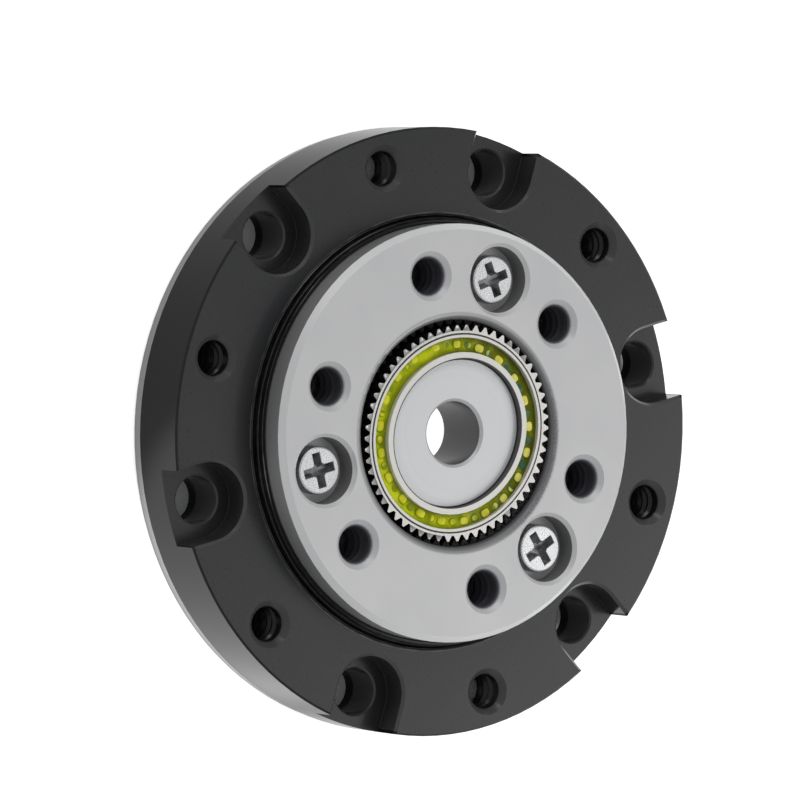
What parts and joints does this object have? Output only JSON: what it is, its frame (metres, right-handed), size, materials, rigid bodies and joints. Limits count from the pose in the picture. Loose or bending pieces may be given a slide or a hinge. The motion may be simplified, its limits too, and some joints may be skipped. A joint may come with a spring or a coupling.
{
  "type": "strain wave gear",
  "caption": "Flat strain wave gear unit: elliptical ball bearing plug turns inside a toothed flexible cup, which drives a toothed output ring carried by a crossed roller bearing in a black mounting ring.",
  "frame": {"origin": "centre of the flat back (mounting) face of the flexspline flange", "axes": "+Z along the gear axis, out of the toothed front; +X towards the right of the picture"},
  "size_m": [0.022, 0.022, 0.0044],
  "materials": {
    "black_anodised": "black anodised, satin",
    "satin_grey": "light grey satin",
    "spring_steel": "fine ground",
    "bearing_steel": "ground",
    "race_steel": "ground, warm white",
    "turned_steel": "fine turned",
    "ball_steel": "polished",
    "screw_steel": "bright",
    "black_rubber": "smooth",
    "spacer_plastic": "moulded",
    "cage_plastic": "moulded, greased"
  },
  "bodies": {
    "housing": {"outer_ring": "black_anodised", "roller_filling_plug": "bearing_steel", "filling_plug_pin": "bearing_steel", "flexspline": "spring_steel", "flexspline_screws": "screw_steel", "flange_o_ring": "black_rubber", "front_seal": "black_rubber", "seal_stiffener": "bearing_steel", "flex_bearing_outer_ring": "race_steel"},
    "output": {"circular_spline": "satin_grey", "bearing_inner_ring": "bearing_steel", "hub_o_ring": "black_rubber", "spline_screws": "screw_steel"},
    "roller_set": {"rollers_tilted_in": "bearing_steel", "rollers_tilted_out": "bearing_steel", "roller_spacers": "spacer_plastic"},
    "wave_generator": {"wave_generator_plug": "turned_steel", "flex_bearing_inner_ring": "race_steel"},
    "ball_set": {"flex_bearing_balls": "ball_steel", "flex_bearing_cage": "cage_plastic"}
  },
  "joints": [
    {"name": "input_spin", "type": "hinge", "parent": "housing", "child": "wave_generator", "pos_m": [0, 0, 0.003], "axis": [0, 0, 1], "continuous": true, "deforming": ["flexspline", "flex_bearing_outer_ring"]},
    {"name": "output_spin", "type": "hinge", "parent": "housing", "child": "output", "pos_m": [0, 0, 0.003], "axis": [0, 0, 1], "continuous": true},
    {"name": "roller_orbit", "type": "hinge", "parent": "housing", "child": "roller_set", "pos_m": [0, 0, 0.0016], "axis": [0, 0, 1], "continuous": true},
    {"name": "ball_orbit", "type": "hinge", "parent": "housing", "child": "ball_set", "pos_m": [0, 0, 0.00355], "axis": [0, 0, 1], "continuous": true, "deforming": ["flex_bearing_balls", "flex_bearing_cage"]}
  ],
  "couplings": [
    {"joint": "output_spin", "follows": "input_spin", "ratio": 0.032258},
    {"joint": "roller_orbit", "follows": "input_spin", "ratio": 0.015462},
    {"joint": "ball_orbit", "follows": "input_spin", "ratio": 0.4532}
  ]
}
